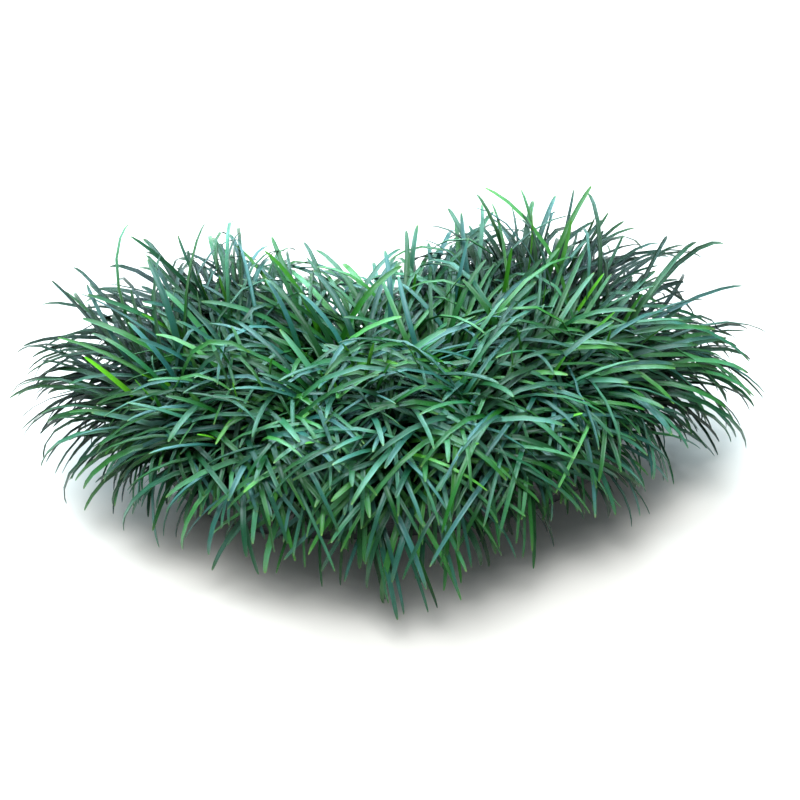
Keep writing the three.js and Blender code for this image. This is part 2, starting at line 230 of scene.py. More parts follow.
def leafLines(drawn):  # the middle line of each leaf, with its side and its upper face
    s = np.arange(leaf["steps"] + 1) / leaf["steps"]
    turn = drawn["turn"][:, None] + drawn["sweep"][:, None] * s
    roll = drawn["roll"][:, None] * s
    if "axis" in drawn:
        beside = unit(np.cross(drawn["axis"], (1, 0, 0)))
        before = np.cross(beside, drawn["axis"])
        opening = drawn["lean"][:, None] + drawn["bend"][:, None] * s ** drawn["delay"][:, None]
        opening = opening[..., None]
        away = np.cos(turn)[..., None] * before + np.sin(turn)[..., None] * beside
        fall = (drawn["droop"][:, None] * s ** 2)[..., None] * np.array((0, 0, 1))
        ahead = unit(np.cos(opening) * drawn["axis"] + np.sin(opening) * away - fall)
        across = np.cos(turn)[..., None] * beside - np.sin(turn)[..., None] * before
        across = unit(across - (across * ahead).sum(-1, keepdims=True) * ahead)
    else:
        tilt = drawn["tilt"][:, None] + drawn["bend"][:, None] * s ** drawn["delay"][:, None]
        ahead = np.stack([np.cos(turn) * np.sin(tilt), np.sin(turn) * np.sin(tilt), np.cos(tilt)], -1)
        across = np.stack([-np.sin(turn), np.cos(turn), 0 * turn], -1)
    up = np.cross(ahead, across)
    side = across * np.cos(roll)[..., None] + up * np.sin(roll)[..., None]
    face = up * np.cos(roll)[..., None] - across * np.sin(roll)[..., None]
    way = np.concatenate([0 * ahead[:, :1], np.cumsum(ahead[:, :-1], 1)], 1)
    at = drawn["root"][:, None] + way * (drawn["length"] / leaf["steps"])[:, None, None]
    return s, at, side, face


def fromRoot(s):
    return np.minimum(1, leaf["rootShare"] + leaf["rootGain"] * s)


def toTip(s, share, power):
    return np.sqrt(1 - (1 - share ** 2) * s ** power)


def leafWidth(s):
    return leaf["width"] * fromRoot(s) * toTip(s, leaf["tipShare"], 8)


def bladeShare(s):  # the finished blade keeps its width almost to the tip
    return fromRoot(s) * toTip(s, leaf["bluntShare"], 9) * (1 - leaf["taper"] * s ** 3)


def leafPlaces(s, at, side, face, bend, share):  # points all over a leaf, close enough for the cells
    segments = math.floor(bend / math.radians(leaf["bendPerSegment"]) + 0.5)
    segments = min(leaf["segments"][1], max(leaf["segments"][0], segments))
    stations = [math.floor(leaf["steps"] * i / segments + 0.5) for i in range(segments + 1)]
    half = leafWidth(s[stations])[:, None] / 2 * share
    keel = mix(leaf["keel"], leaf["tipKeel"], s[stations] ** 3)[:, None]
    right = at[stations] + side[stations] * half
    left = at[stations] - side[stations] * half
    rings = np.stack([right, left, at[stations] - face[stations] * keel], 1)
    # Five places from edge to edge, and the keel
    shares = np.array([
        [1, 0, 0], [0.75, 0.25, 0], [0.5, 0.5, 0], [0.25, 0.75, 0], [0, 1, 0], [0, 0, 1],
    ])
    places, along = [], []
    for r in range(segments):
        steps = math.ceil(np.linalg.norm(rings[r][2] - rings[r + 1][2]) / search["step"]) + 1
        t = np.arange(steps) / steps
        places.append(mix((shares @ rings[r])[None], (shares @ rings[r + 1])[None], t[:, None, None]))
        along.append(np.repeat((r + t) / segments, len(shares)))
    return np.concatenate([p.reshape(-1, 3) for p in places]), np.concatenate(along)


# Small cells over the whole mound, each with the number of the tuft that fills it
halfSpan = max(mound["skirt"]) + 2 * search["cell"]
columns = math.ceil(2 * halfSpan / search["cell"])
tallest = max(peak[3] for peak in mound["peaks"])
layers = math.ceil((tallest + 2 * search["cell"]) / search["cell"])
cells = np.zeros(columns * columns * layers, np.uint8)


def cellAt(p):
    column = np.floor((p[..., 0] + halfSpan) / search["cell"]).astype(np.int64)
    row = np.floor((p[..., 1] + halfSpan) / search["cell"]).astype(np.int64)
    layer = np.floor(p[..., 2] / search["cell"]).astype(np.int64)
    return column + columns * (row + columns * layer)


def fillCells(p, number, clearance):
    reach = range(-clearance, clearance + 1)
    near = [i + columns * (j + columns * k) for i in reach for j in reach for k in reach]
    cells[(cellAt(p)[:, None] + np.array(near)).ravel()] = number


def crossings(p, s, crown, rule):  # 0 where a place is free, 1 in another leaf, 2 where none may be
    x, y, z = p[..., 0], p[..., 1], p[..., 2]
    over = np.hypot(x - crown["x"], y - crown["y"]) < tuft["radius"]
    over &= z < soilZ + tuft["above"]
    outsidePot = (z > pot["height"] + search["potClear"]) | (ovalShare(x, y, -search["potClear"]) > 1)
    insidePot = ovalShare(x, y, pot["lipOut"] + pot["wall"] + search["potClear"]) < 1
    insidePot &= z > soilZ + search["potClear"]
    reach, highest = moundTop(x, y, rule["form"])
    allowed = (z >= search["groundClear"]) & (outsidePot | insidePot) & (reach < 1)
    allowed &= abs(x) < rule["form"]["widest"]
    if rule["hollow"]:  # lower between the tufts
        fromRoot = p - (crown["x"], crown["y"], soilZ)
        fromAxis = np.linalg.norm(np.cross(fromRoot, crown["axis"]), axis=-1)
        inside = np.maximum(0, 1 - reach ** 2)
        highest = highest - rule["hollow"] * inside * np.maximum(0, fromAxis - tuft["clump"])
    allowed &= z < highest
    result = np.where(allowed | over, 0, 2)
    look = allowed & ~over
    number = np.zeros(p.shape[:-1], int)
    number[look] = cells[cellAt(p[look])]
    ownRoot = (number == crown["number"]) & (s < rule["rootShare"])
    result[(number > 0) & ~ownRoot & (s >= rule["hiddenShare"])] = 1
    return result


def growLeaf(crown, index, rule):  # the first of its tries that has room
    drawn = drawLeaves(crown, index, rule)
    s, at, side, face = leafLines(drawn)
    met = crossings(at, np.broadcast_to(s, at.shape[:-1]), crown, rule)
    mayCross = math.ceil(rule["crossing"] * len(s))
    for attempt in np.flatnonzero((met < 2).all(1) & ((met == 1).sum(1) <= mayCross)):
        bend, width = drawn["bend"][attempt], drawn["width"][attempt]
        share = 1 if rule is mainLeaves else width
        places, along = leafPlaces(s, at[attempt], side[attempt], face[attempt], bend, share)
        met = crossings(places, along, crown, rule)
        if (met == 2).any() or (met == 1).mean() > rule["crossing"]:
            continue
        fillCells(places, crown["number"], rule["clearance"])
        return {
            "s": s, "at": at[attempt], "face": face[attempt],
            "scale": bladeShare(s) * width,
            "places": places, "young": rule["young"],
        }
    return None


def plantCrowns():
    crowns = []
    for k in range(tuft["count"]):
        share = math.sqrt((k + 0.5) / (tuft["count"] - 0.5))
        turn = math.pi + k * goldenAngle
        x = (pot["length"] / 2 - tuft["inset"]) * share * math.cos(turn)
        y = (pot["width"] / 2 - tuft["inset"]) * share * math.sin(turn)
        growth = math.sqrt((growthHeight(x, y, mound) - soilZ) / (mound["top"] - soilZ))
        crown = {"number": k + 1, "x": x, "y": y, "share": share, "growth": growth, "leaves": []}
        outward = math.tan(math.radians(tuft["axisLean"])) * share ** 2 / math.hypot(x, y)
        back = tuft["backLean"] if y > 0 else 1  # less at the back
        crown["axis"] = unit(np.array((outward * x, outward * y * back, 1)))
        span = math.ceil(tuft["radius"] / search["cell"])
        reach = np.arange(-span, span + 1) * search["cell"]
        spots = [(i, j) for i in reach for j in reach if math.hypot(i, j) <= tuft["radius"]]
        levels = np.arange(soilZ, soilZ + tuft["above"] + 1e-6, search["cell"])
        crown["places"] = np.array([(x + i, y + j, z) for i, j in spots for z in levels])
        crowns.append(crown)
    return crowns


def growAll(crowns):
    for rule in (mainLeaves, youngLeaves, rimLeaves, fillLeaves):
        cells[:] = 0  # each kind of leaf starts from the crowns and the leaves that are there
        for crown in crowns:
            fillCells(crown["places"], crown["number"], 1)
            for there in crown["leaves"]:
                fillCells(there["places"], crown["number"], 0)
        for index in range(rule["count"]):
            for crown in crowns:
                found = growLeaf(crown, index, rule)
                if found:
                    crown["leaves"].append(found)
        print("leaves grown:", sum(len(crown["leaves"]) for crown in crowns))


def addSheaths(crown, draw):  # short old leaf bases, packed round the crown
    for k in range(sheath["count"]):
        turn = k * goldenAngle + crown["number"]
        out = sheath["spread"] * math.sqrt((k + 0.5) / sheath["count"])
        tilt = mix(*sheath["lean"], out / sheath["spread"])
        tilt = math.radians(tilt + draw.uniform(-sheath["leanSpread"], sheath["leanSpread"]))
        length = draw.uniform(*sheath["length"]) + sheath["sunk"]
        s = np.linspace(0, 1, sheath["steps"] + 1)
        lean = tilt + sheath["curl"] * s
        flat = np.sin(lean)
        ahead = np.stack([flat * math.cos(turn), flat * math.sin(turn), np.cos(lean)], -1)
        x, y = crown["x"] + out * math.cos(turn), crown["y"] + out * math.sin(turn)
        way = np.concatenate([0 * ahead[:1], np.cumsum(ahead[:-1], 0)])
        at = np.array([x, y, soilZ - sheath["sunk"]]) + way * length / sheath["steps"]
        face = np.cross(ahead, [-math.sin(turn), math.cos(turn), 0])
        scale = sheath["scale"] * draw.uniform(*sheath["scaleSpread"]) * (1 - sheath["taper"] * s ** 3)
        crown["leaves"].append({
            "s": s, "at": at, "face": face, "scale": scale, "young": False, "sheath": True,
        })


# Making nodes, objects and plain meshes
def addNode(tree, kind, inputs=None, **settings):
    made = tree.nodes.new(kind)
    for name, value in settings.items():
        setattr(made, name, value)
    for name, value in (inputs or {}).items():
        socket = made.inputs[name]
        if isinstance(value, bpy.types.NodeSocket):
            tree.links.new(value, socket)
        else:
            socket.default_value = value
    return made


def onward(tree, kind, before, inputs=None, **settings):  # a node fed by the one before
    return addNode(tree, kind, {0: before.outputs[0], **(inputs or {})}, **settings)


def addMaths(tree, operation, *values, clamp=False):
    values = dict(enumerate(values))
    return addNode(tree, "ShaderNodeMath", values, operation=operation, use_clamp=clamp).outputs[0]


def startTree(name, kind, result, sockets):  # a node group with its inputs and its one output
    tree = bpy.data.node_groups.new(name, kind)
    tree.interface.new_socket(name=result[0], in_out="OUTPUT", socket_type="NodeSocket" + result[1])
    for label, socketKind, value in sockets:
        socket = tree.interface.new_socket(
            name=label, in_out="INPUT", socket_type="NodeSocket" + socketKind,
        )
        if value is not None:
            socket.default_value = value
    return tree, addNode(tree, "NodeGroupInput").outputs


def objectOf(name, mesh):
    made = bpy.data.objects.new(name, mesh)
    bpy.context.scene.collection.objects.link(made)
    return made


def frozen(source, name, tree=None, values=None):  # the object as it is shown, as a plain mesh
    if tree:
        modifier = source.modifiers.new(tree.name, "NODES")
        modifier.node_group = tree
        for item in tree.interface.items_tree:
            if item.in_out == "INPUT" and item.name in (values or {}):
                modifier[item.identifier] = values[item.name]
    graph = bpy.context.evaluated_depsgraph_get()
    mesh = bpy.data.meshes.new_from_object(source.evaluated_get(graph), depsgraph=graph)
    mesh.name = name
    bpy.data.objects.remove(source)
    return objectOf(name, mesh)


# Leaves: one closed strap with a shallow channel along each line of points
def makeBladeTree():
    tree, given = startTree("leafBlades", "GeometryNodeTree", ("Geometry", "Geometry"), [
        ("Geometry", "Geometry", None), ("Blade Width", "Float", 0.004),
        ("Channel Depth", "Float", 0.0005), ("Blade Thickness", "Float", 0.0006),
        ("Sides", "Int", 6), ("Margin Angle", "Float", 1.0), ("Leaf Finish", "Material", None),
    ])
    tree.is_modifier = True
    node, then, maths = (partial(add, tree) for add in (addNode, onward, addMaths))

    def named(name, kind="FLOAT"):
        made = node("GeometryNodeInputNamedAttribute", {"Name": name}, data_type=kind)
        return made.outputs["Attribute"]

    profile = node("GeometryNodeCurvePrimitiveCircle", {"Resolution": given["Sides"], "Radius": 1.0})
    spot = then("ShaderNodeSeparateXYZ", node("GeometryNodeInputPosition")).outputs
    halfWidth = maths("MULTIPLY", given["Blade Width"], 0.5)
    hollow = maths("MULTIPLY", maths("MULTIPLY", spot["X"], spot["X"]), given["Channel Depth"])
    halfBody = maths("MULTIPLY", given["Blade Thickness"], leaf["bodyShare"])
    section = node("ShaderNodeCombineXYZ", {
        "X": maths("ADD", hollow, maths("MULTIPLY", spot["Y"], halfBody)),
        "Y": maths("MULTIPLY", spot["X"], halfWidth), "Z": 0.0,
    })
    index = node("GeometryNodeInputIndex").outputs[0]
    for name, value in (("across", spot["X"]), ("upper", spot["Y"]), ("roundStep", index)):
        profile = then("GeometryNodeStoreNamedAttribute", profile, {"Name": name, "Value": value})
    profile = then("GeometryNodeSetPosition", profile, {"Position": section.outputs[0]})
    lines = node("GeometryNodeMeshToCurve", {"Mesh": given["Geometry"]})
    lines = then("GeometryNodeSetCurveNormal", lines, mode="FREE")
    tree.links.new(named("leafFace", "FLOAT_VECTOR"), lines.inputs["Normal"])
    blades = then("GeometryNodeCurveToMesh", lines, {
        "Profile Curve": profile.outputs[0], "Scale": named("leafScale"), "Fill Caps": True,
    })
    blades = then("GeometryNodeFlipFaces", blades)
    blades = then("GeometryNodeSetShadeSmooth", blades, {"Shade Smooth": True})
    edge = node("GeometryNodeInputMeshEdgeAngle").outputs["Unsigned Angle"]
    sharp = node("FunctionNodeCompare", {0: edge, 1: given["Margin Angle"]}, operation="GREATER_THAN")
    blades = then("GeometryNodeSetShadeSmooth", blades, {
        "Selection": sharp.outputs[0], "Shade Smooth": False,
    }, domain="EDGE")
    blades = then("GeometryNodeRealizeInstances", blades)
    then("NodeGroupOutput", then("GeometryNodeSetMaterial", blades, {"Material": given["Leaf Finish"]}))
    return tree


def skeletonOf(crown, draw):  # lines of points with what the blades and their finish need
    parts, edges, first = defaultdict(list), [], 0
    for number, grownLeaf in enumerate(crown["leaves"]):
        stations = np.array(leaf["stations"])
        width, youth, dryness = 1, shades["youth"] * draw.random() ** shades["youthPower"], 0
        if grownLeaf.get("sheath"):
            dryness = draw.uniform(*shades["sheathDryness"])
        elif grownLeaf["young"]:
            youth = draw.uniform(*shades["youngYouth"])
        elif draw.random() < shades["dry"]:
            width, dryness = draw.uniform(*shades["dryWidth"]), draw.uniform(*shades["dryDryness"])
        at, face = (
            np.stack([np.interp(stations, grownLeaf["s"], grownLeaf[key][:, i]) for i in range(3)], -1)
            for key in ("at", "face")
        )
        inTip = np.clip((stations - leaf["roundFrom"]) / (1 - leaf["roundFrom"]), 0, 1)
        scale = np.interp(stations, grownLeaf["s"], grownLeaf["scale"]) * toTip(inTip, leaf["blunt"], 2)
        count = len(stations)
        parts["at"].append(at * mm)
        parts["face"].append(unit(face))
        parts["scale"].append(scale * width)
        parts["along"].append(stations)
        # Painted shade: the deeper a point lies under the mound's surface, the darker and duller the
        # finish makes it
        depth = moundTop(at[:, 0], at[:, 1], fullMound)[1] - at[:, 2]
        parts["inner"].append(np.interp(depth, shades["paintedShadeDepth"], (0, 1)))
        own = {"tint": draw.random(), "youth": youth, "dryness": dryness, "number": number}
        for name, value in own.items():
            parts[name].append(np.full(count, value))
        edges.append(first + np.stack([np.arange(count - 1), np.arange(1, count)], -1))
        first += count
    return {name: np.concatenate(values) for name, values in parts.items()}, np.concatenate(edges)


def lineMesh(name, parts, edges):
    mesh = bpy.data.meshes.new(name)
    mesh.from_pydata(parts.pop("at").tolist(), edges.tolist(), [])
    renamed = {"face": "leafFace", "scale": "leafScale", "number": "leafNumber"}
    for key, values in parts.items():
        kind, field = ("FLOAT_VECTOR", "vector") if key == "face" else ("FLOAT", "value")
        layer = mesh.attributes.new(renamed.get(key, key), kind, "POINT")
        layer.data.foreach_set(field, values.astype(np.float32).ravel())
    return mesh


def read(items, field, kind=np.int32):
    values = np.empty(len(items), kind)
    items.foreach_get(field, values)
    return values


def layOutLeaves(mesh, count):  # every leaf unrolled into its own place on the map, from its margin
    vertex = read(mesh.loops, "vertex_index")
    start, total = read(mesh.polygons, "loop_start"), read(mesh.polygons, "loop_total")
    turn, along, number = (
        read(mesh.attributes[name].data, "value", np.float32)[vertex]
        for name in ("roundStep", "along", "leafNumber")
    )
    sides = leaf["sides"]
    onCap = np.repeat(total > 4, total)
    wraps = np.repeat(np.maximum.reduceat(turn, start) - np.minimum.reduceat(turn, start) > 1, total)
    turn = np.where(wraps & ~onCap & (turn == 0), sides, turn)
    angle = turn / sides * 2 * math.pi
    across = np.where(onCap, 0.5 + leafMap["capWide"] * np.cos(angle), turn / sides)
    capAt = np.where(along > 0.5, leafMap["capAt"][1], leafMap["capAt"][0])
    upTo = np.where(onCap, capAt + leafMap["capHigh"] * np.sin(angle), along)
    wide = math.ceil(math.sqrt(count * leafMap["slender"]))
    high = math.ceil(count / wide)
    column, row = number % wide, number // wide
    u = (column + mix(leafMap["gap"], 1 - leafMap["gap"], across)) / wide
    v = (row + mix(leafMap["border"], 1 - leafMap["border"], upTo)) / high
    layer = mesh.uv_layers.new(name="OFBake")
    layer.data.foreach_set("uv", np.stack([u, v], -1).astype(np.float32).ravel())
    for name in ("leafFace", "leafScale", "leafNumber", "roundStep"):
        mesh.attributes.remove(mesh.attributes[name])


# Shared patterns
def makeMottle():  # soft uneven patches, from 0 to 1
    tree, given = startTree("mottle", "ShaderNodeTree", ("Mask", "Float"), [
        ("Vector", "Vector", None), ("Scale", "Float", 60.0),
        ("Detail", "Float", 4.0), ("Contrast", "Float", 2.0),
    ])
    cloud = addNode(tree, "ShaderNodeTexNoise", {
        "Vector": given["Vector"], "Scale": given["Scale"], "Detail": given["Detail"], "Roughness": 0.6,
    })
    centred = addMaths(tree, "SUBTRACT", cloud.outputs["Fac"], 0.5)
    spread = addMaths(tree, "MULTIPLY_ADD", centred, given["Contrast"], 0.5, clamp=True)
    addNode(tree, "NodeGroupOutput", {0: spread})
    return tree


def makeSpeckle():  # small scattered dots, 1 inside a dot
    tree, given = startTree("speckle", "ShaderNodeTree", ("Mask", "Float"), [
        ("Vector", "Vector", None), ("Scale", "Float", 400.0),
        ("Dot", "Float", 0.25), ("Share", "Float", 0.3),
    ])
    spots = addNode(tree, "ShaderNodeTexVoronoi", {"Vector": given["Vector"], "Scale": given["Scale"]})
    chance = addNode(tree, "ShaderNodeSeparateColor", {0: spots.outputs["Color"]})
    near = addMaths(tree, "LESS_THAN", spots.outputs["Distance"], given["Dot"])
    chosen = addMaths(tree, "LESS_THAN", chance.outputs[0], given["Share"])
    addNode(tree, "NodeGroupOutput", {0: addMaths(tree, "MULTIPLY", near, chosen)})
    return tree


def linear(colour):  # from the 0 to 255 of a paint chart
    share = np.array(colour) / 255
    return (*np.where(share <= 0.04045, share / 12.92, ((share + 0.055) / 1.055) ** 2.4).tolist(), 1.0)


class Finish:  # a material while its nodes are laid
    def __init__(self, name):
        self.material = bpy.data.materials.new(name)
        self.material.use_nodes = True
        self.tree = self.material.node_tree
        self.shader = self.tree.nodes["Principled BSDF"]
        self.node, self.maths = partial(addNode, self.tree), partial(addMaths, self.tree)
        self.place = self.node("ShaderNodeTexCoord").outputs["Object"]

    def attribute(self, name):
        return self.node("ShaderNodeAttribute", attribute_name=name).outputs["Fac"]

    def mixed(self, share, first, second, blend="MIX"):
        values = {0: share}
        for index, value in ((6, first), (7, second)):
            values[index] = linear(value) if isinstance(value, tuple) else value
        return self.node("ShaderNodeMix", values, data_type="RGBA", blend_type=blend).outputs[2]

    def ranged(self, value, low, high, fromLow=0.0, fromHigh=1.0):
        values = {0: value, 1: fromLow, 2: fromHigh, 3: low, 4: high}
        return self.node("ShaderNodeMapRange", values).outputs[0]

    def mask(self, tree, inputs):  # a shared pattern over the object's own coordinates
        inputs = {"Vector": self.place, **inputs}
        return self.node("ShaderNodeGroup", inputs, node_tree=tree).outputs["Mask"]

    def ramp(self, value, stops):
        made = self.node("ShaderNodeValToRGB", {0: value})
        elements = made.color_ramp.elements
        while len(elements) < len(stops):
            elements.new(0.5)
        for element, (position, colour) in zip(elements, stops):
            element.position = position
        for element, (position, colour) in zip(elements, stops):
            element.color = linear(colour)
        return made.outputs[0]

    def end(self, colour, roughness, height, depth, strength, specular=0.5):
        bump = self.node("ShaderNodeBump", {"Height": height, "Distance": depth, "Strength": strength})
        self.tree.links.new(colour, self.shader.inputs["Base Color"])
        self.tree.links.new(roughness, self.shader.inputs["Roughness"])
        self.tree.links.new(bump.outputs[0], self.shader.inputs["Normal"])
        self.shader.inputs["Specular IOR Level"].default_value = specular
        return self.material


leafFinish = {
    # Root to tip: the pale root and yellowish tip are the leaf's own colour; the darker lower half is
    # painted shade of the crowded bases, and the lighter, bluer outer arch is partly painted sky
    # reflection
    "green": (
        (0, (120, 126, 70)), (0.07, (26, 88, 2)), (0.3, (8, 90, 0)), (0.65, (44, 137, 18)),
        (0.93, (72, 158, 64)), (0.985, (104, 166, 66)), (1, (176, 206, 100)),
    ),
    "teal": (
        (0, (112, 120, 72)), (0.07, (22, 86, 2)), (0.3, (6, 88, 20)), (0.65, (57, 131, 126)),
        (0.93, (96, 156, 152)), (0.985, (104, 164, 124)), (1, (172, 198, 122)),
    ),
    "tealFrom": (0.04, 0.62), "tintSpread": 0.15, "darkest": (76, 146, 82), "shadeSteps": 7.3,
    # inner is the colour of the painted shade on leaves deep in the mound
    "young": (140, 240, 40), "straw": (190, 164, 112), "brown": (92, 66, 42), "inner": (46, 102, 38),
    "under": (36, 120, 26), "underShare": 0.45, "underEdge": (-0.1, 0.1),
    # margin is a painted highlight, a lighter line along both leaf edges
    "margin": (88, 176, 88), "marginShare": 0.35, "marginFrom": (0.8, 1.0),
    "patches": {"Scale": 90.0, "Detail": 3.0, "Contrast": 2.4},
    "patchDark": (206, 210, 206), "patchShare": 0.8,
    "fine": {"Scale": 900.0, "Detail": 2.0, "Contrast": 1.6}, "fineHeight": 0.25,
    "veins": 8, "veinWander": 0.5, "veinDark": (170, 180, 172), "veinLight": (255, 255, 250),
    "veinShare": (0.5, 0.9), "veinDepth": 0.0003, "veinStrength": 0.55,
    "roughness": (0.24, 0.38), "underRoughness": 0.14, "dryRoughness": 0.3, "specular": 0.38,
    # painted shade also cuts the coat of the deepest leaves down to a small share
    "coat": (0.08, 0.46), "coatFrom": (0.1, 0.6), "paintedShadeCoat": 0.05, "coatRoughness": 0.3,
}
white = (255, 255, 255)


def makeLeafFinish(mottle):
    look, values = Finish("leafBlade"), leafFinish
    along, across, tint, inner, dryness = (
        look.attribute(name) for name in ("along", "across", "tint", "inner", "dryness")
    )
    upper = look.ranged(look.attribute("upper"), 0.0, 1.0, *values["underEdge"])
    under = look.maths("SUBTRACT", 1.0, upper, clamp=True)
    patches = look.mask(mottle, values["patches"])
    fine = look.mask(mottle, values["fine"])
    vein = look.maths("MULTIPLY", across, values["veins"] * math.pi)
    vein = look.maths("SINE", look.maths("MULTIPLY_ADD", patches, values["veinWander"], vein))
    vein = look.maths("MULTIPLY_ADD", vein, 0.5, 0.5)
    mottled = look.ranged(patches, -values["tintSpread"], values["tintSpread"])
    teal = look.ranged(look.maths("ADD", tint, mottled, clamp=True), 0.0, 1.0, *values["tealFrom"])
    # The ramps carry painted shade on the lower half of each leaf and partly painted sky reflection on
    # its outer arch
    colour = look.mixed(teal, look.ramp(along, values["green"]), look.ramp(along, values["teal"]))
    colour = look.mixed(look.maths("MULTIPLY", under, values["underShare"]), colour, values["under"])
    # Painted highlight: a lighter line along both leaf edges, standing in for rim light
    atMargin = look.maths("ABSOLUTE", across)
    atMargin = look.ranged(atMargin, 0.0, values["marginShare"], *values["marginFrom"])
    colour = look.mixed(atMargin, colour, values["margin"])
    colour = look.mixed(look.attribute("youth"), colour, values["young"])
    colour = look.mixed(dryness, colour, look.mixed(patches, values["brown"], values["straw"]))
    lines = look.mixed(vein, values["veinDark"], values["veinLight"])
    colour = look.mixed(look.ranged(under, *values["veinShare"]), colour, lines, "MULTIPLY")
    shade = look.mixed(patches, values["patchDark"], white)
    colour = look.mixed(values["patchShare"], colour, shade, "MULTIPLY")
    ownShade = look.maths("FRACT", look.maths("MULTIPLY", tint, values["shadeSteps"]))
    colour = look.mixed(1.0, colour, look.mixed(ownShade, values["darkest"], white), "MULTIPLY")
    # Painted shade: leaves deep in the mound are darkened, standing in for the shade of the leaves
    # above them
    colour = look.mixed(1.0, colour, look.mixed(inner, white, values["inner"]), "MULTIPLY")
    roughness = look.ranged(fine, *values["roughness"])
    roughness = look.maths("MULTIPLY_ADD", under, values["underRoughness"], roughness)
    roughness = look.maths("MULTIPLY_ADD", dryness, values["dryRoughness"], roughness)
    coat = look.ranged(along, *values["coat"], *values["coatFrom"])
    # Painted shade also dulls the coat of leaves deep in the mound
    coat = look.maths("MULTIPLY", coat, look.ranged(inner, 1.0, values["paintedShadeCoat"]))
    look.tree.links.new(coat, look.shader.inputs["Coat Weight"])
    look.shader.inputs["Coat Roughness"].default_value = values["coatRoughness"]
    height = look.maths("MULTIPLY_ADD", fine, values["fineHeight"], vein)
    return look.end(
        colour, roughness, height, values["veinDepth"], values["veinStrength"], values["specular"],
    )


potFinish = {
    "glaze": (40, 42, 44), "glazeLight": (62, 63, 62), "dot": (20, 20, 21), "fleck": (120, 112, 98),
    "bare": (92, 78, 64), "bareTo": (0.0016, 0.0028), "uneven": 0.0012,
    "rim": (84, 78, 70), "rimFrom": (0.0346, 0.0362), "rimShare": 0.7, "roughness": (0.5, 0.72),
    "patches": {"Scale": 26.0, "Detail": 5.0, "Contrast": 2.2},
    "grain": {"Scale": 1400.0, "Detail": 3.0, "Contrast": 1.5},
    "dots": {"Scale": 420.0, "Dot": 0.3, "Share": 0.35},
    "flecks": {"Scale": 230.0, "Dot": 0.16, "Share": 0.12},
    "turning": 2600.0, "turningWander": 2.5, "turningHeight": 0.35,
    "bumpDepth": 0.0003, "bumpStrength": 0.5,
}


def makePotFinish(mottle, speckle):
    look, values = Finish("potStoneware"), potFinish
    height = look.node("ShaderNodeSeparateXYZ", {0: look.place}).outputs["Z"]
    patches = look.mask(mottle, values["patches"])
    grain = look.mask(mottle, values["grain"])
    dots = look.mask(speckle, values["dots"])
    flecks = look.mask(speckle, values["flecks"])
    colour = look.mixed(patches, values["glaze"], values["glazeLight"])
    colour = look.mixed(dots, colour, values["dot"])
    colour = look.mixed(flecks, colour, values["fleck"])
    low = look.maths("ADD", height, look.ranged(patches, -values["uneven"], values["uneven"]))
    colour = look.mixed(look.ranged(low, 1.0, 0.0, *values["bareTo"]), colour, values["bare"])
    worn = look.maths("MULTIPLY", look.ranged(low, 0.0, 1.0, *values["rimFrom"]), values["rimShare"])
    colour = look.mixed(worn, colour, values["rim"])
    roughness = look.ranged(grain, *values["roughness"])
    turned = look.maths("MULTIPLY", height, values["turning"])
    turned = look.maths("SINE", look.maths("MULTIPLY_ADD", patches, values["turningWander"], turned))
    bumps = look.maths("MULTIPLY", turned, values["turningHeight"])
    bumps = look.maths("MULTIPLY_ADD", grain, 0.5, bumps)
    return look.end(colour, roughness, bumps, values["bumpDepth"], values["bumpStrength"])


soilFinish = {
    "wet": (40, 29, 21), "dry": (66, 48, 34), "bark": (52, 35, 24), "grit": (128, 112, 92),
    # hollow is painted shade in the low spots of the grain
    "hollow": (24, 17, 12), "hollowShadeShare": 0.6, "roughness": (0.8, 0.98), "specular": 0.25,
    "patches": {"Scale": 120.0, "Detail": 6.0, "Contrast": 2.6},
    "grain": {"Scale": 1100.0, "Detail": 4.0, "Contrast": 2.2},
    "bumpDepth": 0.0006, "bumpStrength": 0.8,
}


def makeSoilFinish(mottle, name, dark, light, attribute=None):
    look, values = Finish(name), soilFinish
    patches = look.mask(mottle, values["patches"])
    grain = look.mask(mottle, values["grain"])
    share = look.attribute(attribute) if attribute else patches
    colour = look.mixed(share, dark, light)
    # Painted shade: darker where the fine grain is low, in the hollows of its bump
    colour = look.mixed(look.ranged(grain, values["hollowShadeShare"], 0.0), colour, values["hollow"])
    roughness = look.ranged(patches, *values["roughness"])
    return look.end(
        colour, roughness, grain, values["bumpDepth"], values["bumpStrength"], values["specular"],
    )


# Pot and soil are ovals stacked on each other
def wallInset(z):
    rise = min(1, max(0, z / (pot["height"] - pot["lipHeight"])))
    outward = 1 - (1 - math.sin(rise * math.pi / 2)) ** pot["wallCurve"]
    return mix(pot["footInset"], pot["lipOut"], outward)


def oval(inset, z, share=1):
    turns = np.arange(pot["sides"]) / pot["sides"] * 2 * math.pi
    x = (pot["length"] / 2 - inset) * share * np.cos(turns)
    y = (pot["width"] / 2 - inset) * share * np.sin(turns)
    return np.stack([x, y, np.full_like(x, z)], -1)


floorInset = wallInset(pot["floor"]) + pot["wall"] + pot["floorFillet"]


def lofted(name, rings, material):  # closed, from the middle of the underside to the middle of the top
    count = pot["sides"]
    points = np.concatenate([[rings[0].mean(0)], *rings, [rings[-1].mean(0)]]) * mm
    last = len(points) - 1
    faces = []
    for r in range(len(rings) - 1):
        for i in range(count):
            a, b = 1 + r * count + i, 1 + r * count + (i + 1) % count
            faces.append((a, b, b + count, a + count))
    top = last - count
    for i in range(count):
        faces.append((0, 1 + (i + 1) % count, 1 + i))
        faces.append((last, top + i, top + (i + 1) % count))
    mesh = bpy.data.meshes.new(name)
    mesh.from_pydata(points.tolist(), [], faces)
    mesh.polygons.foreach_set("use_smooth", [True] * len(faces))
    mesh.materials.append(material)
    return objectOf(name, mesh)


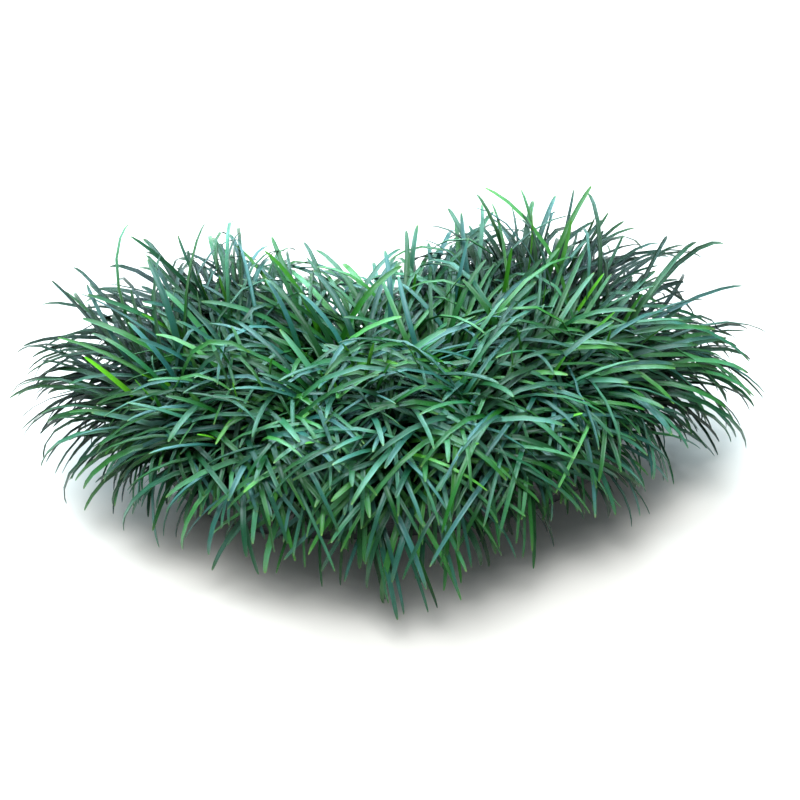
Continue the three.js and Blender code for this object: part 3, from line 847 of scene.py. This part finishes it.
def potRings():  # up the outside, over the lip and down to the middle of the floor
    height, lipFoot = pot["height"], pot["height"] - pot["lipHeight"]
    foot, ring, recess = pot["footInset"], pot["footRing"], pot["footRecess"]
    corner, inner = pot["lipRound"], pot["lipOut"] + pot["wall"]
    rings = [oval(foot + ring + 1, recess, share) for share in pot["recessShares"]]
    rings += [oval(foot + ring + inset, z * recess) for inset, z in pot["recessEdge"]]
    rings.append(oval(foot + ring - 0.5, 0))
    rings += [oval(foot + inset, z) for inset, z in pot["footEdge"]]
    levels = [lipFoot * k / pot["wallRings"] for k in range(1, pot["wallRings"] + 1)]
    rings += [oval(wallInset(z), z) for z in levels]
    rings += [oval(inset, lipFoot + z) for inset, z in pot["lipFoot"]]
    turns = [k / (pot["lipSteps"] - 1) * math.pi / 2 for k in range(pot["lipSteps"])]
    corners = [(corner * (1 - math.cos(turn)), corner * (1 - math.sin(turn))) for turn in turns]
    rings += [oval(a, height - b) for a, b in corners]
    rings += [oval(inner - b, height - a) for a, b in corners]
    filletTop = pot["floor"] + pot["floorFillet"]
    rings += [oval(wallInset(z) + pot["wall"], z) for z in levels[::-1] if z > filletTop]
    rings += [oval(floorInset, pot["floor"], share) for share in pot["floorShares"]]
    return rings


def makePot(material):
    source = lofted("potBody", potRings(), material)
    for side in (-1, 1):
        bm = bmesh.new()
        bmesh.ops.create_cone(
            bm, cap_ends=True, segments=pot["drainSides"], radius1=pot["drainRadius"] * mm,
            radius2=pot["drainRadius"] * mm, depth=pot["drillDepth"] * mm,
        )
        bmesh.ops.translate(bm, verts=bm.verts, vec=(side * pot["drainSpacing"] * mm, 0, 0))
        drill = bpy.data.meshes.new("drill")
        bm.to_mesh(drill)
        bm.free()
        cutter = objectOf("drill", drill)
        cut = source.modifiers.new("drain", "BOOLEAN")
        cut.object, cut.operation, cut.solver = cutter, "DIFFERENCE", "EXACT"
        source = frozen(source, "potBody")
        bpy.data.objects.remove(cutter)
    return source


def lumps(ring):  # uneven ground, the same each time
    rises = []
    for x, y, _ in ring:
        coarse = noise.noise(Vector((x / soil["lumpSize"], y / soil["lumpSize"], soil["seed"])))
        fine = noise.noise(Vector((x / soil["crumbSize"], y / soil["crumbSize"], soil["seed"] + 9)))
        rises.append(soil["lump"] * (coarse + soil["crumbShare"] * fine))
    return np.array(rises)


def makeSoil(material):
    base = pot["floor"] + soil["gap"]
    rings = [oval(floorInset + soil["gap"], base, share) for share in soil["baseShares"]]
    lowest = mix(pot["floor"], pot["height"] - pot["lipHeight"], soil["wallFrom"])
    for z in np.linspace(lowest, soilZ - soil["slope"], soil["wallRings"]):
        rings.append(oval(wallInset(z) + pot["wall"] + soil["gap"], z))
    rim = pot["lipOut"] + pot["wall"] + soil["slope"]
    for share in np.linspace(1, soil["middleShare"], soil["rings"]):
        ring = oval(rim, soilZ - soil["sunk"], share)
        ring[:, 2] += lumps(ring) * min(1, (1 - share) * soil["lumpRise"] + soil["edgeLump"])
        rings.append(ring)
    return lofted("soilBed", rings, material)


# Grit and bark crumbs strewn over the soil
grit = {
    "steepest": 0.6, "sizePower": 2.0, "least": (0.7, 0.5, 0.3), "most": (1.3, 0.9, 0.6),
    "tilt": 0.6, "turn": 6.28,
}


def makeGritTree():
    tree, given = startTree("soilGrit", "GeometryNodeTree", ("Geometry", "Geometry"), [
        ("Geometry", "Geometry", None), ("Grains Per Square Metre", "Float", 90000.0),
        ("Least Size", "Float", 0.0005), ("Most Size", "Float", 0.0017),
        ("Seed", "Int", 7), ("Grit Finish", "Material", None),
    ])
    tree.is_modifier = True
    node, then, maths = (partial(add, tree) for add in (addNode, onward, addMaths))

    def drawn(kind, low, high, seedStep):
        made = node("FunctionNodeRandomValue", data_type=kind)
        lowest, highest = [socket for socket in made.inputs if socket.enabled][:2]
        lowest.default_value, highest.default_value = low, high
        tree.links.new(maths("ADD", given["Seed"], seedStep), made.inputs["Seed"])
        return next(socket for socket in made.outputs if socket.enabled)

    normal = then("ShaderNodeSeparateXYZ", node("GeometryNodeInputNormal")).outputs["Z"]
    facesUp = node("FunctionNodeCompare", {0: normal, 1: grit["steepest"]}, operation="GREATER_THAN")
    spots = node("GeometryNodeDistributePointsOnFaces", {
        "Mesh": given["Geometry"], "Selection": facesUp.outputs[0],
        "Density": given["Grains Per Square Metre"], "Seed": given["Seed"],
    })
    grain = node("GeometryNodeMeshIcoSphere", {"Radius": 1.0, "Subdivisions": 1})
    size = maths("POWER", drawn("FLOAT", 0.0, 1.0, 1.0), grit["sizePower"])
    size = node("ShaderNodeMapRange", {0: size, 3: given["Least Size"], 4: given["Most Size"]})
    shape = drawn("FLOAT_VECTOR", grit["least"], grit["most"], 2.0)
    shape = node("ShaderNodeVectorMath", {0: shape}, operation="SCALE")
    tree.links.new(size.outputs[0], shape.inputs["Scale"])
    tilt = grit["tilt"]
    leastTurn, mostTurn = (-tilt, -tilt, 0.0), (tilt, tilt, grit["turn"])
    turn = node("FunctionNodeEulerToRotation", {0: drawn("FLOAT_VECTOR", leastTurn, mostTurn, 3.0)})
    strewn = then("GeometryNodeInstanceOnPoints", spots, {
        "Instance": grain.outputs["Mesh"], "Scale": shape.outputs[0], "Rotation": turn.outputs[0],
    })
    tint = {"Name": "tint", "Value": drawn("FLOAT", 0.0, 1.0, 4.0)}
    strewn = then("GeometryNodeStoreNamedAttribute", strewn, tint, domain="INSTANCE")
    strewn = then("GeometryNodeRealizeInstances", strewn)
    strewn = then("GeometryNodeSetMaterial", strewn, {"Material": given["Grit Finish"]})
    joined = then("GeometryNodeJoinGeometry", strewn)
    tree.links.new(given["Geometry"], joined.inputs[0])
    then("NodeGroupOutput", joined)
    return tree


# Everything is made and set in its place
mottle, speckle = makeMottle(), makeSpeckle()

potPiece = makePot(makePotFinish(mottle, speckle))
potPiece.name = "pot_body"
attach(potPiece, "root")
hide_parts("pot")
print("pot made:", len(potPiece.data.polygons), "faces")

soilLook = makeSoilFinish(mottle, "pottingSoil", soilFinish["wet"], soilFinish["dry"])
gritLook = makeSoilFinish(mottle, "barkAndGrit", soilFinish["bark"], soilFinish["grit"], "tint")
soilPiece = frozen(makeSoil(soilLook), "soil_bed", makeGritTree(), {
    "Grains Per Square Metre": soil["gritPerSquareMetre"], "Least Size": soil["gritSize"][0] * mm,
    "Most Size": soil["gritSize"][1] * mm, "Seed": soil["seed"], "Grit Finish": gritLook,
})
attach(soilPiece, "root")
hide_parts("soil")
print("soil made:", len(soilPiece.data.polygons), "faces")

crowns = plantCrowns()
growAll(crowns)
bladeTree, leafLook = makeBladeTree(), makeLeafFinish(mottle)
draw = np.random.default_rng(shades["seed"])
for crown in crowns:
    addSheaths(crown, draw)
    lines = objectOf("leafLines", lineMesh("leafLines", *skeletonOf(crown, draw)))
    tuftPiece = frozen(lines, f"leaves_{crown['number']:02d}", bladeTree, {
        "Blade Width": leaf["width"] * mm, "Channel Depth": leaf["channel"] * mm,
        "Blade Thickness": leaf["thickness"] * mm, "Sides": leaf["sides"], "Leaf Finish": leafLook,
    })
    layOutLeaves(tuftPiece.data, len(crown["leaves"]))
    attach(tuftPiece, "root")
    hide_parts(f"tuft_{crown['number']:02d}")
print("tufts made:", len(crowns))

# Stage, lights and camera
stage = {
    "floorSize": 8, "floor": (229, 212, 200), "floorPatches": (225, 208, 196),
    "floorRoughness": (0.75, 0.85), "world": (0.64, 0.87, 1.0), "worldStrength": 0.3,
    "target": (0, 0, 0.05),
    "overhead": {"at": (-0.2, -0.1, 1.8), "size": 1.2, "power": 58, "colour": (0.78, 0.92, 1.0)},
    "sky": {"at": (-0.2, 1.5, 1.5), "size": 1.8, "power": 137, "colour": (0.56, 0.83, 1.0)},
}
view = {
    "azimuth": -8, "elevation": 40, "distance": 0.85, "right": 0.0016, "up": 0.0355,
    "lens": 81.86, "sensor": 36,
}


def makeFloor():
    look = Finish("studioFloor")
    patches = look.mask(mottle, {"Scale": 3.0, "Detail": 3.0, "Contrast": 1.2})
    colour = look.mixed(patches, stage["floorPatches"], stage["floor"])
    roughness = look.ranged(patches, *stage["floorRoughness"])
    material = look.end(colour, roughness, patches, depth=0.0002, strength=0.1, specular=0.2)
    half = stage["floorSize"] / 2
    corners = [(-half, -half, 0), (half, -half, 0), (half, half, 0), (-half, half, 0)]
    mesh = bpy.data.meshes.new("studioFloor")
    mesh.from_pydata(corners, [], [(0, 1, 2, 3)])
    mesh.materials.append(material)
    objectOf("studioFloor", mesh)


def aimed(made, at, target):
    made.location = at
    made.rotation_euler = (Vector(target) - Vector(at)).to_track_quat("-Z", "Y").to_euler()


def addLight(name):
    light = bpy.data.lights.new(name, "AREA")
    light.energy, light.size, light.color = (stage[name][key] for key in ("power", "size", "colour"))
    aimed(objectOf(name, light), stage[name]["at"], stage["target"])


def addCamera():
    a, e = math.radians(view["azimuth"]), math.radians(view["elevation"])
    back = Vector((math.sin(a) * math.cos(e), -math.cos(a) * math.cos(e), math.sin(e)))
    right = Vector((math.cos(a), math.sin(a), 0))
    camera = bpy.data.cameras.new("camera")
    camera.lens, camera.sensor_width = view["lens"], view["sensor"]
    made = objectOf("camera", camera)
    made.location = back * view["distance"] + right * view["right"] + back.cross(right) * view["up"]
    made.rotation_euler = back.to_track_quat("Z", "Y").to_euler()
    bpy.context.scene.camera = made


makeFloor()
addLight("overhead")
addLight("sky")
addCamera()
world = bpy.data.worlds.new("studio")
world.use_nodes = True
backdrop = world.node_tree.nodes["Background"].inputs
backdrop["Color"].default_value = (*stage["world"], 1)
backdrop["Strength"].default_value = stage["worldStrength"]
bpy.context.scene.world = world
bpy.context.scene.view_settings.view_transform = "Standard"
print("stage, lights and camera made")
